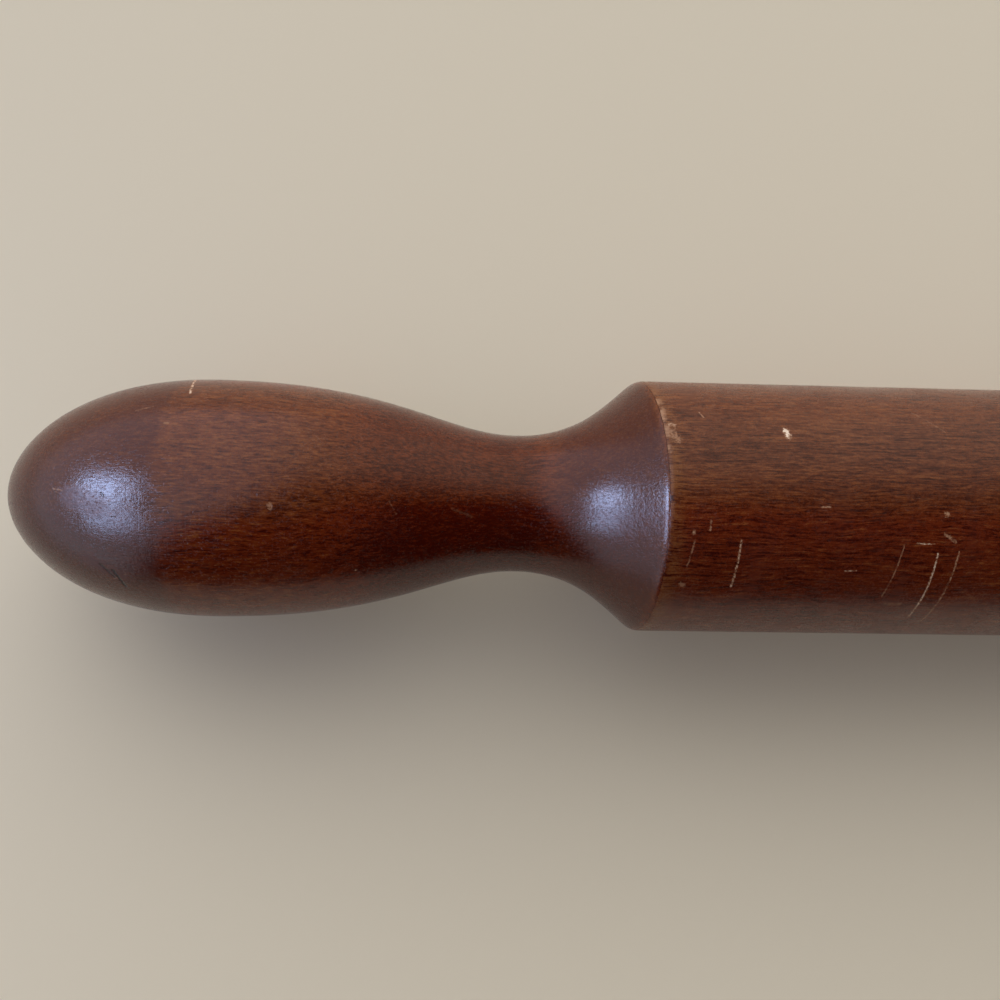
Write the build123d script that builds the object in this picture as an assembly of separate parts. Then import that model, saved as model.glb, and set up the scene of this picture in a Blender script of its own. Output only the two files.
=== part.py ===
from build123d import *
import math
import os

os.makedirs("parts", exist_ok=True)

# A turned wooden rolling pin, in millimetres: a solid barrel with a bulb handle glued in
# each end. The pin lies along X with its middle at x = 0. The barrel rests on z = 0.

# Overall sizes
barrel_diameter = 50.0
barrel_length = 250.0
handle_length = 122.6

# Stations of a handle's turned outline, each distance counted from the joint face
# towards the tip
bulb_diameter = 46.6
bulb_distance = 82.2
waist_diameter = 27.3
waist_distance = 23.7

# Crest: the flare runs out at flare_angle into a rounding, and the joint face cuts that
# rounding where its slope has come down to joint_angle. The barrel's edge carries the rest.
crest_radius = 2.6
flare_angle = 40.0
joint_angle = 22.0

# Fullness of the turned curves. Each share says how far a curve holds on to the direction
# that it has at one of its ends.
# At the tip, of the bulb's radius
tip_share = 0.39
# Nose side of the bulb, of the length from bulb to tip
nose_share = 0.69
# Back of the bulb and the neck, of the length from waist to bulb
back_share = 0.605
neck_share = 0.25
# Waist and flare, of the length from waist to crest
waist_share = 0.54
flare_share = 0.28

# Tenon of the handle, and its shoulder, cut back so that the outer rim closes tight
tenon_diameter = 19.0
tenon_length = 38.0
tenon_chamfer = 2.0
rim_width = 6.0
shoulder_relief = 0.4

# Socket in the barrel, drilled for a glued fit
glue_clearance = 0.1
glue_pocket = 2.0
mouth_chamfer = 1.0
drill_point_angle = 118.0

# Worked out from the sizes above
barrel_radius = barrel_diameter / 2
bulb_radius = bulb_diameter / 2
waist_radius = waist_diameter / 2
tenon_radius = tenon_diameter / 2
socket_radius = tenon_radius + glue_clearance
socket_depth = tenon_length + glue_pocket
drill_point_length = socket_radius / math.tan(math.radians(drill_point_angle / 2))


def crest_point(slope):
    """A point of the crest's rounding, by its slope, with x counted from the joint face."""
    turn = math.radians(slope)
    start = math.radians(joint_angle)
    x = crest_radius * (math.sin(start) - math.sin(turn))
    radius = barrel_radius - crest_radius * (1 - math.cos(turn))
    return (x, radius)


def crest_arc(first_slope, last_slope):
    """The stretch of the crest's rounding between two slopes."""
    middle_slope = (first_slope + last_slope) / 2
    return ThreePointArc(crest_point(first_slope), crest_point(middle_slope), crest_point(last_slope))


def revolved(curves):
    """One solid turned about the X axis from curves that close on that axis."""
    edges = [edge for curve in curves for edge in curve.edges()]
    return revolve(make_face(edges), Axis.X)


def bulb_nose():
    """From the tip to the bulb's widest place."""
    nose_length = handle_length - bulb_distance
    tip = (-handle_length, 0)
    tip_pull = (-handle_length, bulb_radius * tip_share)
    bulb_pull = (-bulb_distance - nose_length * nose_share, bulb_radius)
    bulb = (-bulb_distance, bulb_radius)
    return Bezier(tip, tip_pull, bulb_pull, bulb)


def bulb_back():
    """From the bulb's widest place down to the waist."""
    back_length = bulb_distance - waist_distance
    bulb = (-bulb_distance, bulb_radius)
    bulb_pull = (-bulb_distance + back_length * back_share, bulb_radius)
    waist_pull = (-waist_distance - back_length * neck_share, waist_radius)
    waist = (-waist_distance, waist_radius)
    return Bezier(bulb, bulb_pull, waist_pull, waist)


def flare():
    """From the waist up to the crest's rounding."""
    crest = crest_point(flare_angle)
    flare_length = waist_distance + crest[0]
    slope = math.radians(flare_angle)
    pull_length = flare_length * flare_share
    waist = (-waist_distance, waist_radius)
    waist_pull = (-waist_distance + flare_length * waist_share, waist_radius)
    crest_pull = (crest[0] - pull_length * math.cos(slope), crest[1] - pull_length * math.sin(slope))
    return Bezier(waist, waist_pull, crest_pull, crest)


def tenon_outline():
    """From the crest down the relieved shoulder, along the tenon and back to the axis."""
    rim = crest_point(joint_angle)
    return Polyline(
        rim,
        (0, rim[1] - rim_width),
        (-shoulder_relief, tenon_radius),
        (tenon_length - tenon_chamfer, tenon_radius),
        (tenon_length, tenon_radius - tenon_chamfer),
        (tenon_length, 0),
        (-handle_length, 0),
    )


def make_handle():
    """A handle with its joint face at x = 0 and its tip towards -X."""
    outline = [bulb_nose(), bulb_back(), flare(), crest_arc(flare_angle, joint_angle), tenon_outline()]
    return revolved(outline)


def socket_points():
    """The left socket's outline, from the rim of the joint face to the drill point."""
    rim = crest_point(joint_angle)
    return [
        rim,
        (0, socket_radius + mouth_chamfer),
        (mouth_chamfer, socket_radius),
        (socket_depth, socket_radius),
        (socket_depth + drill_point_length, 0),
    ]


def make_barrel():
    """The barrel with its left joint face at x = 0 and its right one at x = barrel_length."""
    left_socket = socket_points()
    right_socket = [(barrel_length - x, radius) for x, radius in reversed(left_socket)]
    sockets = Polyline(*left_socket, *right_socket)
    left_crest = crest_arc(joint_angle, 0)
    right_crest = mirror(left_crest, Plane.YZ.offset(barrel_length / 2))
    rolling_line = Line(left_crest @ 1, right_crest @ 1)
    return revolved([sockets, right_crest, rolling_line, left_crest])


barrel = Pos(-barrel_length / 2, 0, barrel_radius) * make_barrel()
left_handle = Pos(-barrel_length / 2, 0, barrel_radius) * make_handle()
right_handle = Pos(barrel_length / 2, 0, barrel_radius) * Rot(0, 0, 180) * make_handle()

nodes = {
    "barrel": barrel,
    "left_handle": left_handle,
    "right_handle": right_handle,
}
for name, solid in nodes.items():
    solid.label = name
    export_step(solid, f"parts/{name}.step")
    print(name, "volume", round(solid.volume))
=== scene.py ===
import math

import bpy
from mathutils import Euler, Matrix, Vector


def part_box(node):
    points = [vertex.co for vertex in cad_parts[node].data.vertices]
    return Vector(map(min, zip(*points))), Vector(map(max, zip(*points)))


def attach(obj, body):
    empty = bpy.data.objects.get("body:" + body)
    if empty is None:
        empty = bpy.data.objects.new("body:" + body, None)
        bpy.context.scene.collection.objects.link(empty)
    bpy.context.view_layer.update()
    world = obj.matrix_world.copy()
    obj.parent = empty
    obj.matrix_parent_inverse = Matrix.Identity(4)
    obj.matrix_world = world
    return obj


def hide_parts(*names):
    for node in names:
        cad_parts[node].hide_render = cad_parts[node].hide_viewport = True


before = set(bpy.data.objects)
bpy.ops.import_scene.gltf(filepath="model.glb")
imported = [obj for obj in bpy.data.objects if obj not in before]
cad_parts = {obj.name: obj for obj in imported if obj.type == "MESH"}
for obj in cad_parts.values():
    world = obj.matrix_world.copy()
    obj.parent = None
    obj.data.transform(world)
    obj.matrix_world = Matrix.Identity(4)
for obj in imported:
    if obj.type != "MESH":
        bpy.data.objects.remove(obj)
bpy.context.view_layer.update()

# A turned rolling pin in stained and lacquered wood: a barrel and two bulb handles. Lengths are
# in metres, and places along the pin are counted from the barrel's left joint face.

mm = 0.001

# Places read from the frame
barrel_low, barrel_high = (Vector(corner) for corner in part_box("barrel"))
handle_low, handle_high = (Vector(corner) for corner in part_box("left_handle"))
barrel_length = barrel_high.x - barrel_low.x
barrel_radius = (barrel_high.z - barrel_low.z) / 2
axis_height = (barrel_high.z + barrel_low.z) / 2
joint_face = barrel_low.x
handle_length = barrel_low.x - handle_low.x
tenon_length = handle_high.x - barrel_low.x

# Stations of the handle's turned outline, counted from the joint face towards the tip
bulb_radius = 23.3 * mm
bulb_distance = 82.2 * mm
waist_radius = 13.65 * mm
waist_distance = 23.7 * mm

# Crest between handle and barrel
crest_radius = 2.6 * mm
flare_angle = math.radians(40)
joint_angle = math.radians(22)
arris = 0.02 * mm

# Fullness of the turned curves, as shares of the stretch that each one spans
tip_share = 0.39
nose_share = 0.69
back_share = 0.605
neck_share = 0.25
waist_share = 0.54
flare_share = 0.28

# Glued joint
tenon_radius = 9.5 * mm
tenon_chamfer = 2.0 * mm
rim_width = 6.0 * mm
shoulder_relief = 0.4 * mm
glue_clearance = 0.1 * mm
glue_pocket = 2.0 * mm
mouth_chamfer = 1.0 * mm
drill_point_angle = math.radians(118)
socket_radius = tenon_radius + glue_clearance
socket_depth = tenon_length + glue_pocket
drill_point_length = socket_radius / math.tan(drill_point_angle / 2)

# Fineness of the meshes
sides = 240
wall_step = 0.75 * mm
edge_zone = 4.0 * mm
edge_zone_steps = 16
curve_step = 0.7 * mm
crest_steps = 8
weld_distance = 0.001 * mm


# Outlines. A stretch is a cubic curve: its start, the two points that pull it, its end, and
# the number of steps that it gets.

def straight(start, end, steps=1):
    """A stretch without curvature."""
    start, end = Vector(start), Vector(end)
    return (start, start.lerp(end, 1 / 3), start.lerp(end, 2 / 3), end, steps)


def bent(start, start_pull, end_pull, end):
    """A stretch that leaves and arrives in the directions of its pulls."""
    points = [Vector(point) for point in (start, start_pull, end_pull, end)]
    chord = (points[3] - points[0]).length
    return (*points, math.ceil(chord / curve_step))


def crest_point(slope):
    """A point of the crest's rounding, by its slope."""
    x = crest_radius * (math.sin(joint_angle) - math.sin(slope))
    radius = barrel_radius - crest_radius * (1 - math.cos(slope))
    return Vector((x, radius))


def crest_arc(first_slope, last_slope):
    """The stretch of the crest's rounding between two slopes, which fall towards the barrel."""
    pull = 4 / 3 * math.tan((first_slope - last_slope) / 4) * crest_radius
    first, last = crest_point(first_slope), crest_point(last_slope)
    first_pull = first + pull * Vector((math.cos(first_slope), math.sin(first_slope)))
    last_pull = last - pull * Vector((math.cos(last_slope), math.sin(last_slope)))
    return (first, first_pull, last_pull, last, crest_steps)


def path(*points):
    """Straight stretches from point to point."""
    return [straight(start, end) for start, end in zip(points, points[1:])]


def mirrored(stretches, middle):
    """The same stretches seen in a mirror at x = middle, in the order of rising x again."""
    def across(point):
        return Vector((2 * middle - point.x, point.y))
    return [
        (across(end), across(end_pull), across(start_pull), across(start), steps)
        for start, start_pull, end_pull, end, steps in reversed(stretches)
    ]


def handle_outline():
    """The left handle from its tip to the end of its tenon, with the joint face at x = 0."""
    nose_length = handle_length - bulb_distance
    back_length = bulb_distance - waist_distance
    crest = crest_point(flare_angle)
    flare_length = waist_distance + crest.x
    flare_slope = Vector((math.cos(flare_angle), math.sin(flare_angle)))
    arris_slope = math.asin(math.sin(joint_angle) + arris / crest_radius)
    rim = crest_point(joint_angle).y - arris
    nose = bent(
        (-handle_length, 0),
        (-handle_length, bulb_radius * tip_share),
        (-bulb_distance - nose_length * nose_share, bulb_radius),
        (-bulb_distance, bulb_radius),
    )
    back = bent(
        (-bulb_distance, bulb_radius),
        (-bulb_distance + back_length * back_share, bulb_radius),
        (-waist_distance - back_length * neck_share, waist_radius),
        (-waist_distance, waist_radius),
    )
    flare = bent(
        (-waist_distance, waist_radius),
        (-waist_distance + flare_length * waist_share, waist_radius),
        crest - flare_slope * flare_length * flare_share,
        crest,
    )
    tenon = path(
        crest_point(arris_slope),
        (0, rim),
        (0, rim - rim_width),
        (-shoulder_relief, tenon_radius),
        (tenon_length - tenon_chamfer, tenon_radius),
        (tenon_length, tenon_radius - tenon_chamfer),
        (tenon_length, 0),
    )
    return [nose, back, flare, crest_arc(flare_angle, arris_slope), *tenon]


def barrel_outline():
    """The barrel from the bottom of its left socket round the outside to that of its right one."""
    arris_slope = math.asin(math.sin(joint_angle) - arris / crest_radius)
    rim = crest_point(joint_angle).y - arris
    socket = path(
        (socket_depth + drill_point_length, 0),
        (socket_depth, socket_radius),
        (mouth_chamfer, socket_radius),
        (0, socket_radius + mouth_chamfer),
        (0, rim),
        crest_point(arris_slope),
    )
    wall_start = crest_point(0)
    zone_end = wall_start + Vector((edge_zone, 0))
    left_end = [
        *socket,
        crest_arc(arris_slope, 0),
        straight(wall_start, zone_end, edge_zone_steps),
    ]
    right_end = mirrored(left_end, barrel_length / 2)
    wall_length = barrel_length - 2 * zone_end.x
    wall = straight(zone_end, right_end[0][0], math.ceil(wall_length / wall_step))
    return [*left_end, wall, *right_end]


def outline_object(name, stretches, shift):
    """A curve object that holds the stretches in the plane of the pin's axis."""
    curve = bpy.data.curves.new(name, "CURVE")
    curve.dimensions = "3D"
    for start, start_pull, end_pull, end, steps in stretches:
        spline = curve.splines.new("BEZIER")
        spline.bezier_points.add(1)
        spline.resolution_u = steps
        first, last = spline.bezier_points
        for knot in (first, last):
            knot.handle_left_type = knot.handle_right_type = "FREE"
        first.co = first.handle_left = (start.x + shift, start.y, 0)
        first.handle_right = (start_pull.x + shift, start_pull.y, 0)
        last.handle_left = (end_pull.x + shift, end_pull.y, 0)
        last.co = last.handle_right = (end.x + shift, end.y, 0)
    outline = bpy.data.objects.new(name, curve)
    bpy.context.collection.objects.link(outline)
    return outline


# Node trees read like formulas here: a Field is one output of a node, and sums of fields add
# the nodes that work them out.

class Field:
    def __init__(self, tree, socket):
        self.tree = tree
        self.socket = socket

    def math(self, operation, *others, clamp=False):
        node = self.tree.nodes.new("ShaderNodeMath")
        node.operation = operation
        node.use_clamp = clamp
        for target, value in zip(node.inputs, (self, *others)):
            feed(self.tree, target, value)
        return Field(self.tree, node.outputs[0])

    def vector(self, operation, *others, output="Vector"):
        node = self.tree.nodes.new("ShaderNodeVectorMath")
        node.operation = operation
        for target, value in zip(node.inputs, (self, *others)):
            feed(self.tree, target, value)
        return Field(self.tree, node.outputs[output])

    def scaled(self, factor):
        """This vector times a number or a field."""
        node = self.tree.nodes.new("ShaderNodeVectorMath")
        node.operation = "SCALE"
        feed(self.tree, node.inputs["Vector"], self)
        feed(self.tree, node.inputs["Scale"], factor)
        return Field(self.tree, node.outputs["Vector"])

    def parts(self):
        """The x, y and z of this vector."""
        node = place(self.tree, "ShaderNodeSeparateXYZ", {"Vector": self})
        return [Field(self.tree, node.outputs[name]) for name in "XYZ"]

    def ramp(self, low, high, to_low=0.0, to_high=1.0):
        """A soft step from to_low to to_high while this field goes from low to high."""
        node = place(
            self.tree,
            "ShaderNodeMapRange",
            {
                "Value": self,
                "From Min": low,
                "From Max": high,
                "To Min": to_low,
                "To Max": to_high,
            },
            interpolation_type="SMOOTHSTEP",
        )
        return Field(self.tree, node.outputs["Result"])

    def __add__(self, other):
        return self.math("ADD", other)

    def __sub__(self, other):
        return self.math("SUBTRACT", other)

    def __mul__(self, other):
        return self.math("MULTIPLY", other)

    def __truediv__(self, other):
        return self.math("DIVIDE", other)

    __radd__ = __add__
    __rmul__ = __mul__

    def __rsub__(self, other):
        return (self * -1.0) + other


def feed(tree, target, value):
    """Links a field to an input, or sets the input to a plain value."""
    if isinstance(value, Field):
        tree.links.new(value.socket, target)
    else:
        target.default_value = value


def place(tree, kind, inputs=None, **settings):
    """Adds a node with its settings, and feeds its inputs by name or number."""
    node = tree.nodes.new(kind)
    for name, value in settings.items():
        setattr(node, name, value)
    for name, value in (inputs or {}).items():
        feed(tree, node.inputs[name], value)
    return node


def output(node, name=0):
    return Field(node.id_data, node.outputs[name])


def joined(tree, x, y, z):
    """A vector from its three parts."""
    return output(place(tree, "ShaderNodeCombineXYZ", {"X": x, "Y": y, "Z": z}))


def noise(tree, position, scale, detail, roughness):
    """Noise around one half. The scale is in swings per metre, alike or by axis."""
    if isinstance(scale, tuple):
        position, scale = position.vector("MULTIPLY", scale), 1.0
    inputs = {"Vector": position, "Scale": scale, "Detail": detail, "Roughness": roughness}
    return output(place(tree, "ShaderNodeTexNoise", inputs), "Fac" if tree.type == "SHADER" else 0)


def swing(tree, position, scale, detail, roughness, reach):
    """Noise stretched so that what lies within reach of its middle goes from -1 to 1."""
    low, high = 0.5 - reach, 0.5 + reach
    return noise(tree, position, scale, detail, roughness).ramp(low, high, -1.0, 1.0)


def blend(tree, factor, first, second):
    """A colour between two colours."""
    node = place(tree, "ShaderNodeMix", data_type="RGBA")
    feed(tree, node.inputs[0], factor)
    feed(tree, node.inputs[6], first)
    feed(tree, node.inputs[7], second)
    return output(node, 2)


def open_tree(name, kind, inputs, outputs):
    """A new node group, its given inputs as fields by name, and its output node."""
    tree = bpy.data.node_groups.new(name, kind)
    for title, socket in inputs.items():
        tree.interface.new_socket(name=title, in_out="INPUT", socket_type="NodeSocket" + socket)
    for title, socket in outputs.items():
        tree.interface.new_socket(name=title, in_out="OUTPUT", socket_type="NodeSocket" + socket)
    given = tree.nodes.new("NodeGroupInput")
    fields = {title: Field(tree, given.outputs[title]) for title in inputs}
    return tree, fields, tree.nodes.new("NodeGroupOutput")


# Wear of the edges beside the joints
worn_width = 1.9 * mm
worn_depth = 0.08 * mm
most_worn_angle = math.radians(42)
most_worn_spread = math.radians(18)
most_worn_bias = 0.2
worn_patch_scale = (260.0, 620.0, 620.0)

# Unevenness of the hand-turned surface, and dents from use
ripple_depth = 0.03 * mm
ripple_scale = 55.0
dents_per_square_metre = 350.0
dent_radius = 2.4 * mm
dent_depth = 0.035 * mm

# Ripple, dents and wear leave out tenon and socket, which lie nearer to the axis than this
kept_clean_radius = 10.0 * mm
fully_worn_radius = 13.0 * mm

# Each seed reads the noise this many metres further along the pin
seed_step = 0.37

# Edges that bend more sharply than this are true corners
sharp_edge_angle = math.radians(34)


def lathe_tree():
    """Turns an outline about the pin's axis into a closed surface, then ages that surface."""
    tree, given, result = open_tree(
        "lathe",
        "GeometryNodeTree",
        {
            "Outline": "Geometry",
            "Axis height": "Float",
            "Sides": "Int",
            "Ripple depth": "Float",
            "Dents per square metre": "Float",
            "Dent radius": "Float",
            "Dent depth": "Float",
            "Edge distance": "Float",
            "Edge wear": "Float",
            "Edge wear width": "Float",
            "Edge wear depth": "Float",
            "Seed": "Int",
            "Material": "Material",
        },
        {"Geometry": "Geometry"},
    )

    # One column of the grid for each point of the outline, one row for each side
    points = output(place(tree, "GeometryNodeCurveToMesh", {"Curve": given["Outline"]}), "Mesh")
    size = place(tree, "GeometryNodeAttributeDomainSize", {"Geometry": points}, component="MESH")
    rows = given["Sides"] + 1.0
    grid = place(
        tree,
        "GeometryNodeMeshGrid",
        {"Vertices X": output(size, "Point Count"), "Vertices Y": rows},
    )
    index = output(tree.nodes.new("GeometryNodeInputIndex"))
    column = (index / rows).math("FLOOR")
    row = index - column * rows
    position = output(tree.nodes.new("GeometryNodeInputPosition"))
    station = output(
        place(
            tree,
            "GeometryNodeSampleIndex",
            {"Geometry": points, "Value": position, "Index": column},
            data_type="FLOAT_VECTOR",
        )
    )
    along, radius, _ = station.parts()
    turn = row / given["Sides"] * math.tau
    turned = joined(
        tree,
        along,
        radius * turn.math("SINE"),
        given["Axis height"] - radius * turn.math("COSINE"),
    )
    surface = output(
        place(
            tree,
            "GeometryNodeSetPosition",
            {"Geometry": output(grid, "Mesh"), "Position": turned},
        )
    )
    surface = output(
        place(
            tree,
            "GeometryNodeMergeByDistance",
            {"Geometry": surface, "Distance": weld_distance},
        )
    )
    surface = output(place(tree, "GeometryNodeFlipFaces", {"Mesh": surface}))

    # Places on the turned surface
    x, y, z = position.parts()
    height = z - given["Axis height"]
    distance = (y * y + height * height).math("SQRT")
    outside = distance.ramp(kept_clean_radius, fully_worn_radius)
    angle = y.math("ARCTAN2", height)
    seed_shift = joined(tree, given["Seed"] * seed_step, 0.0, 0.0)
    placed = position.vector("ADD", seed_shift)

    # Wear along the edges beside the joints, worst on one side of the pin
    edge_gap = (x.math("ABSOLUTE") - given["Edge distance"]).math("ABSOLUTE")
    beside_edge = edge_gap.ramp(given["Edge wear width"] * 0.2, given["Edge wear width"], 1.0, 0.0)
    off_worst = (angle - most_worn_angle) / most_worn_spread
    bias = (off_worst * off_worst).ramp(0.0, 1.6, most_worn_bias, 0.0)
    patches = noise(tree, placed, worn_patch_scale, 3.0, 0.62) + bias
    worn = beside_edge * patches.ramp(0.42, 0.78) * outside * given["Edge wear"]
    surface = output(
        place(
            tree,
            "GeometryNodeStoreNamedAttribute",
            {"Geometry": surface, "Name": "worn", "Value": worn},
            data_type="FLOAT",
            domain="POINT",
        )
    )

    # Dents at random places, and the slow ripple of a hand-turned surface
    scattered = place(
        tree,
        "GeometryNodeDistributePointsOnFaces",
        {"Mesh": surface, "Density": given["Dents per square metre"], "Seed": given["Seed"]},
    )
    nearest = place(
        tree,
        "GeometryNodeProximity",
        {"Geometry": output(scattered, "Points")},
        target_element="POINTS",
    )
    dent = output(nearest, "Distance").ramp(0.0, given["Dent radius"], 1.0, 0.0)
    ripple = noise(tree, placed, ripple_scale, 2.0, 0.5)
    depth = outside * (given["Ripple depth"] * ripple + given["Dent depth"] * dent)
    depth = depth + worn * given["Edge wear depth"]
    normal = output(tree.nodes.new("GeometryNodeInputNormal"))
    inward = normal.scaled(depth * -1.0)
    surface = output(
        place(tree, "GeometryNodeSetPosition", {"Geometry": surface, "Offset": inward})
    )

    # Smooth shading, apart from the true corners
    surface = output(
        place(
            tree,
            "GeometryNodeSetShadeSmooth",
            {"Geometry": surface, "Shade Smooth": True},
            domain="FACE",
        )
    )
    edge_angle = output(tree.nodes.new("GeometryNodeInputMeshEdgeAngle"))
    corner = output(
        place(
            tree,
            "FunctionNodeCompare",
            {0: edge_angle, 1: sharp_edge_angle},
            operation="GREATER_THAN",
        )
    )
    surface = output(
        place(
            tree,
            "GeometryNodeSetShadeSmooth",
            {"Geometry": surface, "Selection": corner, "Shade Smooth": False},
            domain="EDGE",
        )
    )
    surface = output(
        place(
            tree,
            "GeometryNodeSetMaterial",
            {"Geometry": surface, "Material": given["Material"]},
        )
    )
    feed(tree, result.inputs["Geometry"], surface)
    return tree


def turned_piece(name, stretches, material, tree, seed, edge_wear):
    """A finished piece: the tree's result on an outline, as a plain mesh at the origin."""
    outline = outline_object(name + "_outline", stretches, joint_face)
    modifier = outline.modifiers.new("lathe", "NODES")
    modifier.node_group = tree
    values = {
        "Axis height": axis_height,
        "Sides": sides,
        "Ripple depth": ripple_depth,
        "Dents per square metre": dents_per_square_metre,
        "Dent radius": dent_radius,
        "Dent depth": dent_depth,
        "Edge distance": barrel_length / 2,
        "Edge wear": edge_wear,
        "Edge wear width": worn_width,
        "Edge wear depth": worn_depth,
        "Seed": seed,
        "Material": material,
    }
    for socket in tree.interface.items_tree:
        if socket.in_out == "INPUT" and socket.name in values:
            modifier[socket.identifier] = values[socket.name]
    bpy.context.view_layer.update()
    evaluated = outline.evaluated_get(bpy.context.evaluated_depsgraph_get())
    mesh = bpy.data.meshes.new_from_object(evaluated)
    outline.modifiers.remove(modifier)
    bpy.data.objects.remove(outline)
    mesh.materials.clear()
    mesh.materials.append(material)
    mesh.polygons.foreach_set("material_index", [0] * len(mesh.polygons))
    mesh.name = name
    piece = bpy.data.objects.new(name + "_turned", mesh)
    bpy.context.collection.objects.link(piece)
    return piece


# Finish. Colours are linear, and lie on the wood under the lacquer.
deep_stain = (0.048, 0.0036, 0.0009, 1)
mid_stain = (0.132, 0.0180, 0.0040, 1)
light_stain = (0.235, 0.0720, 0.0200, 1)
# Painted light: paler, less saturated colours for the side that faces the light
painted_light_dark = (0.052, 0.0105, 0.0028, 1)
painted_light_pale = (0.180, 0.0570, 0.0180, 1)
rubbed_stain = (0.200, 0.0720, 0.0220, 1)
end_grain_stain = (0.062, 0.0095, 0.0052, 1)
pore_stain = (0.020, 0.0020, 0.0008, 1)
crack_stain = (0.012, 0.0030, 0.0020, 1)
scuffed_wood = (0.32, 0.155, 0.085, 1)
bare_wood = (0.78, 0.64, 0.54, 1)
dull = 0.60
lacquer_ior = 1.40

# Shares of the figure's layers, from broad clouds to fine mottle
cloud_share = 0.09
band_share = 0.08
streak_share = 0.19
fibre_share = 0.18
mottle_share = 0.15
sway_width = 2.4 * mm

# Tones of the figure: deep stain at 0, light stain at 1
middle_tone = 0.42
# Painted light lifts the tone of the side that faces the light by this much
painted_light_gain = 0.06
# Painted shade darkens the tone round the neck by this much
neck_shade_loss = 0.30

# How much of the figure's contrast end grain and the painted shade round the neck take away
end_grain_calm = 0.3
neck_shade_calm = 0.4

# How strongly the painted light on the side that faces the light and the flecks show
painted_light_strength = 0.65
# How much of the painted light the painted shade round the neck takes away
painted_light_neck_loss = 0.35
fleck_strength = 0.5

# Reliefs in the lacquer
hollow_depth = 0.018 * mm
pore_depth = 0.010 * mm
pit_depth = 0.012 * mm
streak_height = 0.003 * mm
bare_depth = 0.05 * mm
crack_depth = 0.08 * mm
raised_grain_gain = 2.4
buffed_flatness = 0.8

# What the lacquer's state adds to its roughness, or takes away where it is buffed
smear_roughness = (-0.04, 0.06)
pore_roughness = 0.07
pit_roughness = 0.15
dulled_roughness = 0.38
buffed_gloss = 0.09

# Painted light: the side that faces the light is painted paler and less saturated over these
# angles round the pin, turned a little further on the bulb's back
painted_light_from = math.radians(-6)
painted_light_to = math.radians(86)
painted_light_edge = math.radians(12)
bulb_back_span = (52.0 * mm, 70.0 * mm)
bulb_painted_light_shift = math.radians(10)
painted_light_drift = 0.5

# End grain has drunk more stain: the bulb's nose from nose_distance on, and the flare
nose_distance = 86.6 * mm
nose_edge = 3.0 * mm
nose_drift = 7.0 * mm
nose_strength = 0.72
flare_facing = (0.10, 0.35)
flare_strength = 0.7
flare_drift = 0.2

# Painted shade: the wood is painted darker round the neck, the recess between bulb and flare
neck_start = (13.0 * mm, 24.0 * mm)
neck_end = (46.0 * mm, 62.0 * mm)
neck_drift = 12.0 * mm

# Stain rubbed thin on the barrel beside the joints, and the buffed crest of the handles
rubbed_start = 0.3 * mm
rubbed_width = 3.6 * mm
rubbed_drift = 2.5 * mm
rubbed_strength = 0.8
buffed_start = 0.1 * mm
buffed_width = 1.5 * mm

# The marks of the far end are turned round the pin by this much
far_end_turn = math.radians(115)


def wood_figure_group():
    """Stained, close-grained wood with its fibres along x, with painted light on the side that
    faces the light and painted shade round the neck.
    """
    tree, given, result = open_tree(
        "wood figure",
        "ShaderNodeTree",
        {
            "Position": "Vector",
            "End grain": "Float",
            "Painted light": "Float",
            "Rubbed": "Float",
            "Neck shade": "Float",
            "Streak length": "Float",
            "Fleck length": "Float",
        },
        {"Colour": "Color", "Pores": "Float", "Grain": "Float"},
    )
    sway = noise(tree, given["Position"], (55.0, 110.0, 110.0), 2.0, 0.5) - 0.5
    swayed = joined(tree, 0.0, sway, sway).scaled(sway_width)
    position = given["Position"].vector("ADD", swayed)
    clouds = swing(tree, position, (14.0, 70.0, 70.0), 3.0, 0.55, reach=0.18)
    streak_place = position.vector("DIVIDE", joined(tree, given["Streak length"], 1.0, 1.0))
    bands = swing(tree, streak_place, (0.6, 900.0, 900.0), 2.0, 0.5, reach=0.18)
    streaks = swing(tree, streak_place, (1.0, 3300.0, 3300.0), 3.0, 0.65, reach=0.16)
    fibres = swing(tree, position, (420.0, 2300.0, 2300.0), 3.0, 0.65, reach=0.16)
    mottle = swing(tree, position, (1100.0, 2400.0, 2400.0), 3.0, 0.7, reach=0.18)
    fleck_place = position.vector("DIVIDE", joined(tree, given["Fleck length"], 1.0, 1.0))
    flecks = noise(tree, fleck_place, (1.0, 4200.0, 4200.0), 2.0, 0.6).ramp(0.55, 0.68)
    figure = clouds * cloud_share + bands * band_share + streaks * streak_share
    figure = figure + fibres * fibre_share + mottle * mottle_share
    contrast = 1.0 - given["End grain"] * end_grain_calm - given["Neck shade"] * neck_shade_calm
    grain = figure * contrast + middle_tone
    # Painted light lifts the side that faces the light, and painted shade darkens the neck
    grain = grain + given["Painted light"] * painted_light_gain - given["Neck shade"] * neck_shade_loss
    colour = blend(tree, grain.ramp(0.0, 0.5), deep_stain, mid_stain)
    colour = blend(tree, grain.ramp(0.5, 1.0), colour, light_stain)
    # Painted light: paler, less saturated colours on the side that faces the light
    painted_light = blend(tree, (figure + 0.5).ramp(0.0, 1.0), painted_light_dark, painted_light_pale)
    painted_light_share = given["Painted light"] * (painted_light_strength - given["Neck shade"] * painted_light_neck_loss)
    colour = blend(tree, painted_light_share, colour, painted_light)
    colour = blend(tree, flecks * fleck_strength, colour, pore_stain)
    colour = blend(tree, given["End grain"] * (1.0 - figure * 0.7), colour, end_grain_stain)
    colour = blend(tree, given["Rubbed"] * figure.ramp(-0.35, 0.30), colour, rubbed_stain)
    feed(tree, result.inputs["Colour"], colour)
    feed(tree, result.inputs["Pores"], flecks)
    feed(tree, result.inputs["Grain"], streaks)
    return tree


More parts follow.
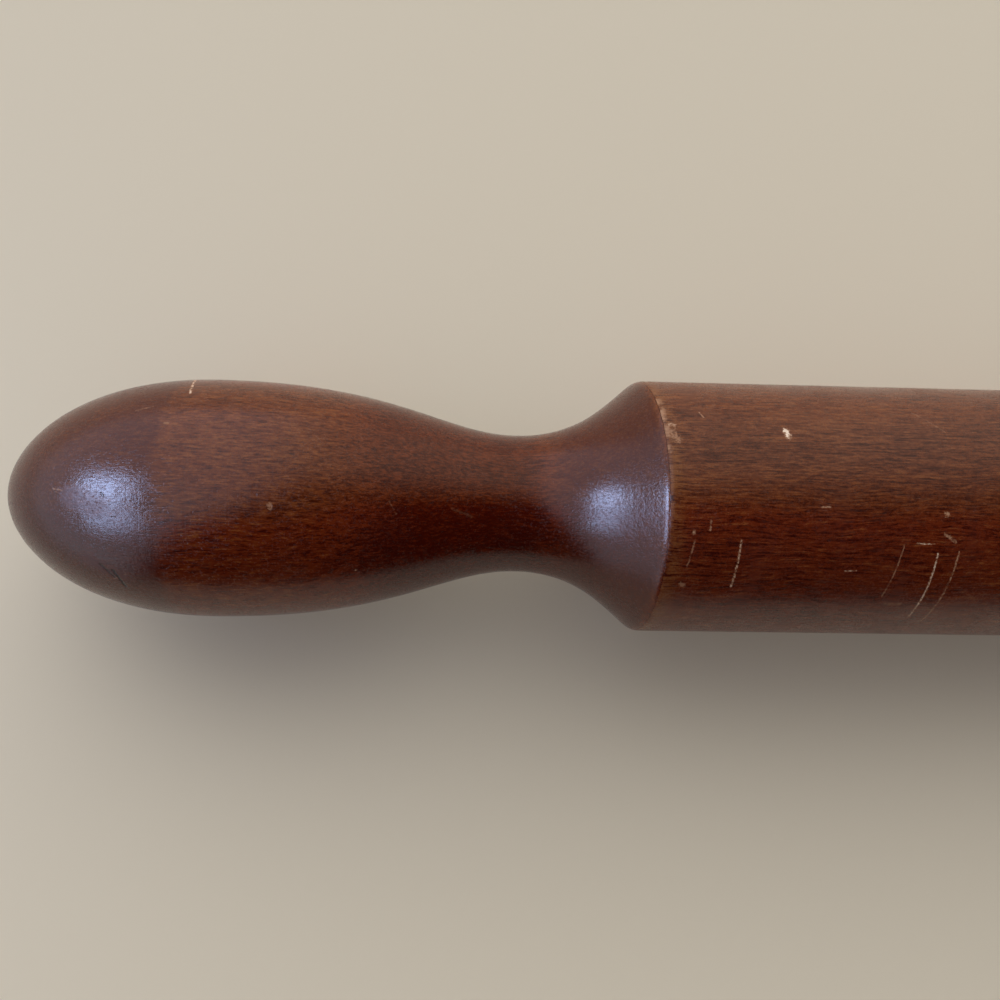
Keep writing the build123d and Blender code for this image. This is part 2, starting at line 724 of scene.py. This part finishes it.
def unrolled_group():
    """Where a point lies on the pin rolled out flat: in from the nearer joint, and round from
    the top. The two ends have the same places, turned against each other. Beyond is how far
    a point lies outside that joint, and Outward how far the surface faces away from it."""
    tree, given, result = open_tree(
        "unrolled surface",
        "ShaderNodeTree",
        {"Position": "Vector", "Normal": "Vector"},
        {"Place": "Vector", "Beyond": "Float", "Outward": "Float", "Angle": "Float"},
    )
    x, y, z = given["Position"].parts()
    from_middle = x - barrel_length / 2
    beyond = from_middle.math("ABSOLUTE") - barrel_length / 2
    angle = y.math("ARCTAN2", z)
    far_end = from_middle.math("GREATER_THAN", 0.0)
    turned = (angle + far_end * far_end_turn).math("WRAP", math.pi, -math.pi)
    place_there = joined(tree, beyond * -1.0, turned * barrel_radius, 0.0)
    feed(tree, result.inputs["Place"], place_there)
    feed(tree, result.inputs["Beyond"], beyond)
    feed(tree, result.inputs["Outward"], given["Normal"].parts()[0] * from_middle.math("SIGN"))
    feed(tree, result.inputs["Angle"], angle)
    return tree


def scratch_group():
    """One stroke on the unrolled surface. Equal ends make a nick."""
    tree, given, result = open_tree(
        "scratch",
        "ShaderNodeTree",
        {
            "Place": "Vector",
            "Start": "Vector",
            "End": "Vector",
            "Width": "Float",
            "Strength": "Float",
            "Ragged": "Float",
            "Broken": "Float",
        },
        {"Mask": "Float"},
    )
    stroke = given["End"].vector("SUBTRACT", given["Start"])
    offset = given["Place"].vector("SUBTRACT", given["Start"])
    reach = stroke.vector("DOT_PRODUCT", stroke, output="Value")
    share = offset.vector("DOT_PRODUCT", stroke, output="Value").math("DIVIDE", reach, clamp=True)
    gap = offset.vector("SUBTRACT", stroke.scaled(share)).vector("LENGTH", output="Value")
    width = given["Width"]
    line = (gap + given["Ragged"] * width).ramp(width * 0.15, width * 0.7, 1.0, 0.0)
    feed(tree, result.inputs["Mask"], line * given["Strength"] * given["Broken"])
    return tree


def lacquer_group():
    """Satin lacquer that has sunk into the pores, with faint marks of the turning."""
    tree, given, result = open_tree(
        "lacquer",
        "ShaderNodeTree",
        {
            "Position": "Vector",
            "Gloss": "Float",
            "Grit": "Float",
            "Peel": "Float",
            "Pores": "Float",
            "Grain": "Float",
            "Raised grain": "Float",
            "Bare": "Float",
            "Cracked": "Float",
            "Dulled": "Float",
            "Buffed": "Float",
            "Turning marks": "Float",
        },
        {"Roughness": "Float", "Height": "Float"},
    )
    position = given["Position"]
    peel = noise(tree, position, (1500.0, 1900.0, 1900.0), 3.0, 0.65) - 0.5
    grit = noise(tree, position, 2200.0, 1.0, 0.5).ramp(0.50, 0.66)
    hollows = noise(tree, position, 620.0, 2.0, 0.5) - 0.5
    pits = noise(tree, position, 1500.0, 1.0, 0.5).ramp(0.69, 0.76)
    smears = noise(tree, position, (110.0, 70.0, 70.0), 3.0, 0.6)
    x = position.parts()[0]
    rings = noise(tree, joined(tree, x, 0.0, 0.0), 2400.0, 1.0, 0.5) - 0.5
    height = peel * given["Peel"] * (given["Raised grain"] * raised_grain_gain + 1.0)
    height = height + hollows * hollow_depth + rings * given["Turning marks"]
    height = height * (1.0 - given["Buffed"] * buffed_flatness)
    height = height - given["Pores"] * pore_depth + given["Grain"] * streak_height
    height = height - pits * pit_depth
    height = height - given["Bare"] * bare_depth - given["Cracked"] * crack_depth
    polished = 1.0 - given["Gloss"]
    roughness = polished + smears.ramp(0.3, 0.7, *smear_roughness) + grit * given["Grit"]
    roughness = roughness + given["Pores"] * pore_roughness + pits * pit_roughness
    roughness = roughness + given["Dulled"] * dulled_roughness
    roughness = roughness - given["Buffed"] * buffed_gloss
    roughness = roughness + given["Bare"] * (dull - polished)
    feed(tree, result.inputs["Roughness"], roughness)
    feed(tree, result.inputs["Height"], height)
    return tree


wood_figure = wood_figure_group()
unrolled = unrolled_group()
scratch = scratch_group()
lacquer = lacquer_group()

# Marks left by use, alike at both ends of the pin: millimetres in from the joint, or out where
# they are negative, and degrees round from the top, for both ends of the stroke, then its
# width in millimetres and how strongly it shows
barrel_marks = [
    (21.8, 33.8, 22.0, 31.0, 1.35, 1.0),
    (1.0, 35.8, 1.9, 35.4, 0.8, 0.65),
    (1.3, 32.0, 1.9, 28.0, 1.5, 0.5),
    (12.7, -13, 12.5, -34, 0.42, 0.75),
    (4.3, -10, 4.3, -10, 0.8, 0.65),
    (4.6, -13, 3.8, -25, 0.35, 0.4),
    (7.1, -5, 7.1, -9, 0.35, 0.5),
    (3.4, -33, 4.2, -34.5, 0.9, 0.45),
    (7.1, 43, 7.6, 40, 0.35, 0.5),
    (47.9, -17, 48.1, -52, 0.4, 0.8),
    (41.6, -14, 40.5, -38, 0.32, 0.45),
    (51.6, -16, 51.4, -56, 0.38, 0.6),
    (48.6, -1, 48.6, -1, 1.0, 0.6),
    (48.6, -9, 50.6, -12, 0.6, 0.6),
    (43.8, -13, 47.0, -13.2, 0.3, 0.8),
    (32.0, -25.5, 34.0, -25.4, 0.28, 0.8),
    (26.3, 1, 28.0, 1, 0.28, 0.6),
    (42.0, -43, 44.5, -43, 0.9, 0.3),
    (47.0, 46, 51.0, 35, 0.35, 0.25),
]
handle_marks = [
    (-86.3, 77, -85.1, 55, 0.55, 0.8),
    (-93.8, 43, -90.8, 45, 0.35, 0.4),
    (-68.7, -2, -68.7, -4, 0.9, 0.45),
    (-106.5, 1.5, -106.5, 1.5, 0.5, 0.5),
    (-54.2, -37, -54.2, -37, 0.45, 1.0),
    (-48.6, 1, -47.1, -7, 0.35, 0.22),
    (-37.1, -4, -33.2, -10, 0.8, 0.15),
    (-88.0, 34, -87.2, 34, 0.5, 0.4),
    (-94.5, -38, -99.0, -46, 0.3, 0.25),
    (-105.2, 2.4, -107.2, 3.4, 0.4, 0.5),
]
handle_cracks = [
    (-99.0, -34.5, -96.9, -41.5, 0.55, 0.8),
    (-96.8, -37.0, -95.4, -47.0, 0.60, 1.0),
    (-97.6, 1.2, -97.2, -0.4, 0.35, 0.7),
    (-95.6, -9.4, -95.2, -9.4, 0.35, 0.6),
]
handle_dull_places = [
    (-103.2, -1.2, -102.0, -2.0, 4.6, 0.65),
    (-102.0, -2.0, -98.6, -4.6, 4.6, 0.55),
    (-101.0, -33.0, -96.0, -40.0, 3.6, 0.5),
]


def strokes_mask(tree, where, strokes, ragged, broken=1.0):
    """The union of all strokes of a list, or a plain zero for an empty list."""
    mask = None
    for start_x, start_angle, end_x, end_angle, width, strength in strokes:
        group = place(tree, "ShaderNodeGroup", node_tree=scratch)
        inputs = {
            "Place": where,
            "Start": (start_x * mm, math.radians(start_angle) * barrel_radius, 0),
            "End": (end_x * mm, math.radians(end_angle) * barrel_radius, 0),
            "Width": width * mm,
            "Strength": strength,
            "Ragged": ragged,
            "Broken": broken,
        }
        for socket, value in inputs.items():
            feed(tree, group.inputs[socket], value)
        mask = output(group) if mask is None else mask.math("MAXIMUM", output(group))
    return 0.0 if mask is None else mask


def stained_wood(
    name, marks, cracks, dull_places, figure_shift, streak_length, fleck_length, film
):
    """The material of one kind of piece, with its own part of the figure and its own marks."""
    material = bpy.data.materials.new(name)
    material.use_nodes = True
    tree = material.node_tree
    shader = tree.nodes["Principled BSDF"]
    shader.inputs["IOR"].default_value = lacquer_ior
    coordinates = tree.nodes.new("ShaderNodeTexCoord")
    centred = place(tree, "ShaderNodeMapping", {"Vector": output(coordinates, "Object")})
    centred.inputs["Location"].default_value = (-joint_face, 0, -axis_height)
    position = output(centred)
    shifted = position.vector("ADD", figure_shift)
    unrolling = place(tree, "ShaderNodeGroup", node_tree=unrolled)
    feed(tree, unrolling.inputs["Position"], position)
    feed(tree, unrolling.inputs["Normal"], output(coordinates, "Normal"))
    where = output(unrolling, "Place")
    beyond = output(unrolling, "Beyond")
    outward = output(unrolling, "Outward")
    angle = output(unrolling, "Angle")

    drift = noise(tree, position, (9.0, 30.0, 30.0), 3.0, 0.6) - 0.5
    nose_span = (nose_distance, nose_distance + nose_edge)
    nose = (beyond + drift * nose_drift).ramp(*nose_span, 0.0, nose_strength)
    flare = (outward + drift * flare_drift).ramp(*flare_facing, 0.0, flare_strength)
    flare = flare * beyond.ramp(0.0, buffed_width)
    # Painted shade round the neck
    past_neck = (beyond + drift * neck_drift).ramp(*neck_end, 1.0, 0.0)
    neck_shade = beyond.ramp(*neck_start) * past_neck
    # Painted light on the side that faces the light, over the angles round the pin
    side = angle + drift * painted_light_drift + beyond.ramp(*bulb_back_span, 0.0, bulb_painted_light_shift)
    painted_light = side.ramp(painted_light_from, painted_light_from + painted_light_edge)
    painted_light = painted_light * side.ramp(painted_light_to - painted_light_edge, painted_light_to, 1.0, 0.0)
    inward = beyond * -1.0
    rubbed_span = (0.2 * rubbed_width, rubbed_width)
    rubbed = (inward + drift * rubbed_drift).ramp(*rubbed_span, rubbed_strength, 0.0)
    rubbed = rubbed * inward.ramp(0.0, rubbed_start)
    buffed = beyond.ramp(0.5 * buffed_width, buffed_width, 1.0, 0.0)
    buffed = buffed * beyond.ramp(-buffed_start, buffed_start)

    end_grain = nose.math("MAXIMUM", flare)
    figure_inputs = {
        "Position": shifted,
        "End grain": end_grain,
        "Painted light": painted_light,
        "Rubbed": rubbed,
        "Neck shade": neck_shade,
        "Streak length": streak_length,
        "Fleck length": fleck_length,
    }
    figure = place(tree, "ShaderNodeGroup", node_tree=wood_figure)
    for socket, value in figure_inputs.items():
        feed(tree, figure.inputs[socket], value)

    ragged = (noise(tree, position, 2400.0, 2.0, 0.6) - 0.5) * 1.3
    broken = noise(tree, position, 1500.0, 2.0, 0.6).ramp(0.38, 0.56, 0.3, 1.0)
    scratched = strokes_mask(tree, where, marks, ragged, broken)
    cracked = strokes_mask(tree, where, cracks, ragged)
    dulled = strokes_mask(tree, where, dull_places, drift * 0.8)
    worn = output(place(tree, "ShaderNodeAttribute", attribute_name="worn"), "Fac")
    jagged = noise(tree, position, (900.0, 2600.0, 2600.0), 3.0, 0.7) - 0.5
    worn = (worn + jagged * 1.6).ramp(0.30, 1.15, 0.0, 0.6) * worn.ramp(0.02, 0.25)
    bare = worn.math("MAXIMUM", scratched)

    colour = blend(tree, bare.ramp(0.0, 0.6), output(figure, "Colour"), scuffed_wood)
    colour = blend(tree, bare.ramp(0.5, 1.0), colour, bare_wood)
    colour = blend(tree, cracked, colour, crack_stain)
    lacquered = place(tree, "ShaderNodeGroup", node_tree=lacquer)
    lacquer_inputs = {
        "Position": position,
        "Pores": output(figure, "Pores"),
        "Grain": output(figure, "Grain"),
        "Raised grain": end_grain,
        "Bare": bare,
        "Cracked": cracked,
        "Dulled": dulled,
        "Buffed": buffed,
        **film,
    }
    for socket, value in lacquer_inputs.items():
        feed(tree, lacquered.inputs[socket], value)
    bump = place(tree, "ShaderNodeBump", {"Height": output(lacquered, "Height"), "Distance": 1.0})
    feed(tree, shader.inputs["Base Color"], colour)
    feed(tree, shader.inputs["Roughness"], output(lacquered, "Roughness"))
    feed(tree, shader.inputs["Normal"], output(bump))
    return material


# Pieces

lathe = lathe_tree()
barrel_wood = stained_wood(
    "stained barrel wood",
    barrel_marks,
    cracks=[],
    dull_places=[],
    figure_shift=(0.31, 0.02, 0.07),
    streak_length=8 * mm,
    fleck_length=4.2 * mm,
    film={"Gloss": 0.77, "Grit": 0.09, "Peel": 0.012 * mm, "Turning marks": 0.001 * mm},
)
handle_wood = stained_wood(
    "stained handle wood",
    handle_marks,
    handle_cracks,
    handle_dull_places,
    figure_shift=(0.0, 0.11, 0.0),
    streak_length=3.2 * mm,
    fleck_length=1.8 * mm,
    film={"Gloss": 0.88, "Grit": 0.17, "Peel": 0.0155 * mm, "Turning marks": 0.010 * mm},
)
barrel = turned_piece("barrel", barrel_outline(), barrel_wood, lathe, seed=1, edge_wear=1.0)
left_outline = handle_outline()
left_handle = turned_piece(
    "left_handle", left_outline, handle_wood, lathe, seed=2, edge_wear=0.0
)
right_outline = mirrored(left_outline, barrel_length / 2)
right_handle = turned_piece(
    "right_handle", right_outline, handle_wood, lathe, seed=3, edge_wear=0.0
)
for piece, node, slot in (
    (barrel, "barrel", "barrel_wood"),
    (left_handle, "left_handle", "handle_wood"),
    (right_handle, "right_handle", "handle_wood"),
):
    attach(piece, "root")
    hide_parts(node)

# Floor

floor_mesh = bpy.data.meshes.new("floor")
floor_reach = 6.0
floor_colour = (0.86, 0.80, 0.68, 1)
floor_roughness = 0.75
floor_corners = [
    (x * floor_reach, y * floor_reach, 0) for x, y in ((-1, -1), (1, -1), (1, 1), (-1, 1))
]
floor_mesh.from_pydata(floor_corners, [], [(0, 1, 2, 3)])
floor = bpy.data.objects.new("floor", floor_mesh)
bpy.context.collection.objects.link(floor)
floor_material = bpy.data.materials.new("pale floor")
floor_material.use_nodes = True
floor_shader = floor_material.node_tree.nodes["Principled BSDF"]
floor_shader.inputs["Base Color"].default_value = floor_colour
floor_shader.inputs["Roughness"].default_value = floor_roughness
floor_mesh.materials.append(floor_material)

# Lights

def softbox(name, middle, turn, width, height, radiance, colour):
    """A rectangular lamp. Its radiance is 1 where a white wall would look white."""
    lamp = bpy.data.lights.new(name, "AREA")
    lamp.shape = "RECTANGLE"
    lamp.size = width
    lamp.size_y = height
    lamp.color = colour
    lamp.energy = radiance * math.pi * width * height
    lamp_object = bpy.data.objects.new(name, lamp)
    lamp_object.location = middle
    lamp_object.rotation_euler = turn.to_euler()
    lamp_object.visible_camera = False
    lamp_object.visible_diffuse = False
    bpy.context.collection.objects.link(lamp_object)


# A window shows in the gloss. Each pane: its middle across and up the window, its width and
# height, and its radiance.
window_aim = Vector((joint_face - 50.0 * mm, 0, axis_height))
window_distance = 1.0
window_lean = math.radians(47.5)
window_direction = Vector((-math.sin(window_lean), 0, math.cos(window_lean)))
window_turn = (-window_direction).to_track_quat("-Z", "Y")
window_up = window_turn @ Vector((0, 1, 0))
window_colour = (0.45, 0.60, 1.0)
panes = {
    "clear pane": (0.10, 0.0, 0.36, 0.35, 24.0),
    "dim upper pane": (-0.31, 0.073, 0.38, 0.205, 12.5),
    "dim lower pane": (-0.31, -0.110, 0.38, 0.130, 12.5),
}
for name, (across, up, width, height, radiance) in panes.items():
    middle = window_aim + window_distance * window_direction
    middle = middle + Vector((0, across, 0)) + up * window_up
    softbox(name, middle, window_turn, width, height, radiance, window_colour)

# The room: plain light, stronger from one side, and what the gloss shows of it
world = bpy.data.worlds.new("room")
bpy.context.scene.world = world
world.use_nodes = True
room = world.node_tree
background = room.nodes["Background"]
direction = output(room.nodes.new("ShaderNodeTexCoord"), "Generated")
towards_x, towards_y, _ = direction.parts()
towards_window = towards_x * -1.0
shade_light = (0.25, 0.232, 0.215, 1)
bright_light = (2.45, 2.37, 2.22, 1)
dark_room = (0.0, 0.0, 0.0, 1)
light_wall = (0.78, 0.78, 0.66, 1)
window_wall = (1.25, 1.32, 1.50, 1)
pale_background = (0.88, 0.87, 0.85, 1)

# Over which part of a direction's swing from -1 to 1 each light or wall sets in
bright_span = (0.2, 0.85)
light_wall_span = (0.05, 0.65)
window_wall_span = (-0.12, 0.35)
window_wall_slant = 1.8
halves_span = (-0.2, 0.2)
soft_light = blend(room, towards_y.ramp(*bright_span), shade_light, bright_light)
slanted = towards_y + towards_window * window_wall_slant
right_half = blend(room, towards_y.ramp(*light_wall_span), dark_room, light_wall)
left_half = blend(room, slanted.ramp(*window_wall_span), dark_room, window_wall)
mirrored_room = blend(room, towards_window.ramp(*halves_span), right_half, left_half)
path_kind = room.nodes.new("ShaderNodeLightPath")
lit = blend(room, output(path_kind, "Is Glossy Ray"), soft_light, mirrored_room)
seen = blend(room, output(path_kind, "Is Camera Ray"), lit, pale_background)
feed(room, background.inputs["Color"], seen)

# Camera: above the pin and beyond the joint, turned by degrees about x, y and z

camera_beyond_joint = 44.65 * mm
camera_above_axis = 160.7 * mm
camera_turn = (0.11, -2.12, 1.09)
camera_shift = 0.06
nearest_seen = 0.01
photo_side = 1000
focal_pixels = 800
sensor_width = 36.0
camera_data = bpy.data.cameras.new("camera")
camera_data.sensor_width = sensor_width
camera_data.lens = focal_pixels / photo_side * sensor_width
camera_data.shift_x = camera_shift
camera_data.clip_start = nearest_seen
camera = bpy.data.objects.new("camera", camera_data)
camera.location = (joint_face - camera_beyond_joint, 0, axis_height + camera_above_axis)
camera.rotation_euler = Euler([math.radians(angle) for angle in camera_turn])
bpy.context.collection.objects.link(camera)
bpy.context.scene.camera = camera

bpy.context.scene.view_settings.view_transform = "Standard"
